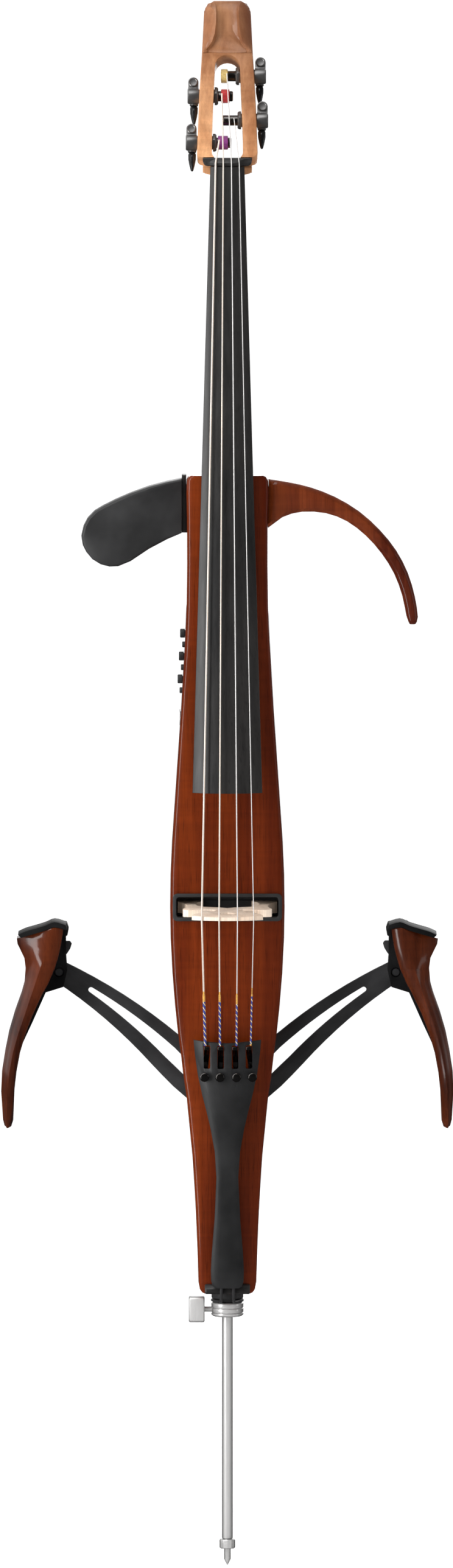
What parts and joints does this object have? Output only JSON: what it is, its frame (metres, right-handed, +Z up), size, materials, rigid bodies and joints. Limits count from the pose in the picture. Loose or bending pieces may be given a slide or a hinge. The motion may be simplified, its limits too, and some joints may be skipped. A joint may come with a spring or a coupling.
{
  "type": "electric cello",
  "caption": "Slim solid-body electric cello with geared pegs, standing bridge, tailpiece, sliding knee arms, chest rest and sliding endpin.",
  "frame": {"origin": "tip of the endpin, on the endpin's axis", "axes": "+Z up along the body and endpin, -Y out of the front, +X to the right in a front view"},
  "size_m": [0.4132, 0.1656, 1.4304],
  "materials": {
    "sunburst_wood": "glossy lacquer, sunburst",
    "neck_maple": "satin",
    "bridge_maple": "bare, matt",
    "ebony": "polished dark wood",
    "nickel_steel": "satin nickel",
    "string_steel": "fine wound",
    "black_nickel": "black nickel plate",
    "black_steel": "matt black paint",
    "black_rubber": "matt",
    "board_green": "circuit board",
    "black_plastic": "fine matt"
  },
  "bodies": {
    "frame": {"arm_bracket": "black_steel", "back_cover": "black_plastic", "battery_holder": "black_plastic", "body_shell": "sunburst_wood", "bridge": "bridge_maple", "bridge_frame": "black_plastic", "bridge_pickup": "black_plastic", "chest_hinge": "black_plastic", "circuit_board": "board_green", "endpin_collar": "nickel_steel", "endpin_socket": "nickel_steel", "fingerboard": "ebony", "front_plate": "sunburst_wood", "neck": "neck_maple", "nut": "ebony", "output_jack": "nickel_steel", "saddle": "ebony", "shoulder_arc": "sunburst_wood", "string_a": "string_steel", "string_c": "string_steel", "string_d": "string_steel", "string_g": "string_steel", "tail_cord": "black_plastic", "tailpiece": "black_plastic", "tuner_housing_a": "black_nickel", "tuner_housing_c": "black_nickel", "tuner_housing_d": "black_nickel", "tuner_housing_g": "black_nickel"},
    "endpin": {"endpin_rod": "nickel_steel", "endpin_tip": "nickel_steel"},
    "clamp_screw": {"endpin_screw": "nickel_steel"},
    "arm_left": {"knee_arm_left": "black_steel"},
    "knee_left": {"knee_rest_left": "sunburst_wood", "knee_carrier_left": "black_rubber"},
    "arm_right": {"knee_arm_right": "black_steel"},
    "knee_right": {"knee_rest_right": "sunburst_wood", "knee_carrier_right": "black_rubber"},
    "chest": {"chest_rest": "black_plastic"},
    "fine_screw_c": {"fine_screw_c": "black_nickel"},
    "fine_lever_c": {"fine_lever_c": "black_nickel"},
    "fine_screw_g": {"fine_screw_g": "black_nickel"},
    "fine_lever_g": {"fine_lever_g": "black_nickel"},
    "fine_screw_d": {"fine_screw_d": "black_nickel"},
    "fine_lever_d": {"fine_lever_d": "black_nickel"},
    "fine_screw_a": {"fine_screw_a": "black_nickel"},
    "fine_lever_a": {"fine_lever_a": "black_nickel"},
    "key_c": {"tuner_key_c": "black_nickel"},
    "post_c": {"tuner_post_c": "black_nickel"},
    "key_g": {"tuner_key_g": "black_nickel"},
    "post_g": {"tuner_post_g": "black_nickel"},
    "key_d": {"tuner_key_d": "black_nickel"},
    "post_d": {"tuner_post_d": "black_nickel"},
    "key_a": {"tuner_key_a": "black_nickel"},
    "post_a": {"tuner_post_a": "black_nickel"},
    "knob_volume": {"knob_volume": "black_plastic"},
    "knob_tone": {"knob_tone": "black_plastic"},
    "knob_blend": {"knob_blend": "black_plastic"},
    "button_power": {"button_power": "black_plastic"},
    "button_effect": {"button_effect": "black_plastic"},
    "button_phase": {"button_phase": "black_plastic"}
  },
  "joints": [
    {"name": "endpin_slide", "type": "slide", "parent": "frame", "child": "endpin", "axis": [0, 0, 1], "range_m": [-0.06, 0.19]},
    {"name": "clamp_screw_turn", "type": "hinge", "parent": "frame", "child": "clamp_screw", "pos_m": [-0.0208, 0, 0.2356], "axis": [1, 0, 0], "range_deg": [0, 360]},
    {"name": "arm_left_slide", "type": "slide", "parent": "frame", "child": "arm_left", "axis": [0.6944, 0, -0.7196], "range_m": [0, 0.05]},
    {"name": "knee_left_fold", "type": "hinge", "parent": "arm_left", "child": "knee_left", "pos_m": [-0.1539, 0.027, 0.54359], "axis": [0, -1, 0], "range_deg": [0, 38]},
    {"name": "arm_right_slide", "type": "slide", "parent": "frame", "child": "arm_right", "axis": [-0.6944, 0, -0.7196], "range_m": [0, 0.05]},
    {"name": "knee_right_fold", "type": "hinge", "parent": "arm_right", "child": "knee_right", "pos_m": [0.1539, 0.027, 0.54359], "axis": [0, 1, 0], "range_deg": [0, 38]},
    {"name": "chest_rest_fold", "type": "hinge", "parent": "frame", "child": "chest", "pos_m": [-0.0465, 0.023, 0.97], "axis": [0, 0, -1], "range_deg": [0, 88]},
    {"name": "fine_screw_c_turn", "type": "hinge", "parent": "frame", "child": "fine_screw_c", "pos_m": [-0.0209, -0.04623, 0.4536], "axis": [0, 1, 0], "range_deg": [0, 720]},
    {"name": "fine_lever_c_tip", "type": "hinge", "parent": "frame", "child": "fine_lever_c", "pos_m": [-0.0186, -0.04364, 0.4794], "axis": [1, 0, 0], "range_deg": [0, 4]},
    {"name": "fine_screw_g_turn", "type": "hinge", "parent": "frame", "child": "fine_screw_g", "pos_m": [-0.0067, -0.04841, 0.4536], "axis": [0, 1, 0], "range_deg": [0, 720]},
    {"name": "fine_lever_g_tip", "type": "hinge", "parent": "frame", "child": "fine_lever_g", "pos_m": [-0.0061, -0.04628, 0.4794], "axis": [1, 0, 0], "range_deg": [0, 4]},
    {"name": "fine_screw_d_turn", "type": "hinge", "parent": "frame", "child": "fine_screw_d", "pos_m": [0.0083, -0.04834, 0.4536], "axis": [0, 1, 0], "range_deg": [0, 720]},
    {"name": "fine_lever_d_tip", "type": "hinge", "parent": "frame", "child": "fine_lever_d", "pos_m": [0.007, -0.04618, 0.4794], "axis": [1, 0, 0], "range_deg": [0, 4]},
    {"name": "fine_screw_a_turn", "type": "hinge", "parent": "frame", "child": "fine_screw_a", "pos_m": [0.0229, -0.04562, 0.4536], "axis": [0, 1, 0], "range_deg": [0, 720]},
    {"name": "fine_lever_a_tip", "type": "hinge", "parent": "frame", "child": "fine_lever_a", "pos_m": [0.0197, -0.04327, 0.4794], "axis": [1, 0, 0], "range_deg": [0, 4]},
    {"name": "key_c_turn", "type": "hinge", "parent": "frame", "child": "key_c", "pos_m": [-0.03215, 0.01941, 1.30032], "axis": [0, -0.3584, -0.9336], "continuous": true},
    {"name": "post_c_turn", "type": "hinge", "parent": "frame", "child": "post_c", "pos_m": [0, 0.0125, 1.30297], "axis": [-1, 0, 0], "continuous": true},
    {"name": "key_g_turn", "type": "hinge", "parent": "frame", "child": "key_g", "pos_m": [-0.0305, 0.03536, 1.34187], "axis": [0, -0.3584, -0.9336], "continuous": true},
    {"name": "post_g_turn", "type": "hinge", "parent": "frame", "child": "post_g", "pos_m": [0, 0.02845, 1.34452], "axis": [-1, 0, 0], "continuous": true},
    {"name": "key_d_turn", "type": "hinge", "parent": "frame", "child": "key_d", "pos_m": [0.02948, 0.04224, 1.35979], "axis": [0, -0.3584, -0.9336], "continuous": true},
    {"name": "post_d_turn", "type": "hinge", "parent": "frame", "child": "post_d", "pos_m": [0, 0.03533, 1.36244], "axis": [1, 0, 0], "continuous": true},
    {"name": "key_a_turn", "type": "hinge", "parent": "frame", "child": "key_a", "pos_m": [0.03136, 0.02708, 1.3203], "axis": [0, -0.3584, -0.9336], "continuous": true},
    {"name": "post_a_turn", "type": "hinge", "parent": "frame", "child": "post_a", "pos_m": [0, 0.02017, 1.32295], "axis": [1, 0, 0], "continuous": true},
    {"name": "knob_volume_turn", "type": "hinge", "parent": "frame", "child": "knob_volume", "pos_m": [-0.03819, 0.008, 0.8552], "axis": [1, 0, 0], "range_deg": [-150, 150]},
    {"name": "knob_tone_turn", "type": "hinge", "parent": "frame", "child": "knob_tone", "pos_m": [-0.0393, 0.008, 0.8343], "axis": [1, 0, 0], "range_deg": [-150, 150]},
    {"name": "knob_blend_turn", "type": "hinge", "parent": "frame", "child": "knob_blend", "pos_m": [-0.0405, 0.008, 0.8134], "axis": [1, 0, 0], "range_deg": [-150, 150]},
    {"name": "button_power_press", "type": "slide", "parent": "frame", "child": "button_power", "axis": [1, 0, 0], "range_m": [0, 0.001], "stiffness_N_per_m": 400, "springref_m": -0.001},
    {"name": "button_effect_press", "type": "slide", "parent": "frame", "child": "button_effect", "axis": [1, 0, 0], "range_m": [0, 0.001], "stiffness_N_per_m": 400, "springref_m": -0.001},
    {"name": "button_phase_press", "type": "slide", "parent": "frame", "child": "button_phase", "axis": [1, 0, 0], "range_m": [0, 0.001], "stiffness_N_per_m": 400, "springref_m": -0.001}
  ],
  "couplings": [
    {"joint": "fine_lever_c_tip", "follows": "fine_screw_c_turn", "ratio": 0.0055556},
    {"joint": "fine_lever_g_tip", "follows": "fine_screw_g_turn", "ratio": 0.0055556},
    {"joint": "fine_lever_d_tip", "follows": "fine_screw_d_turn", "ratio": 0.0055556},
    {"joint": "fine_lever_a_tip", "follows": "fine_screw_a_turn", "ratio": 0.0055556},
    {"joint": "post_c_turn", "follows": "key_c_turn", "ratio": -0.071429},
    {"joint": "post_g_turn", "follows": "key_g_turn", "ratio": -0.071429},
    {"joint": "post_d_turn", "follows": "key_d_turn", "ratio": -0.071429},
    {"joint": "post_a_turn", "follows": "key_a_turn", "ratio": -0.071429}
  ]
}
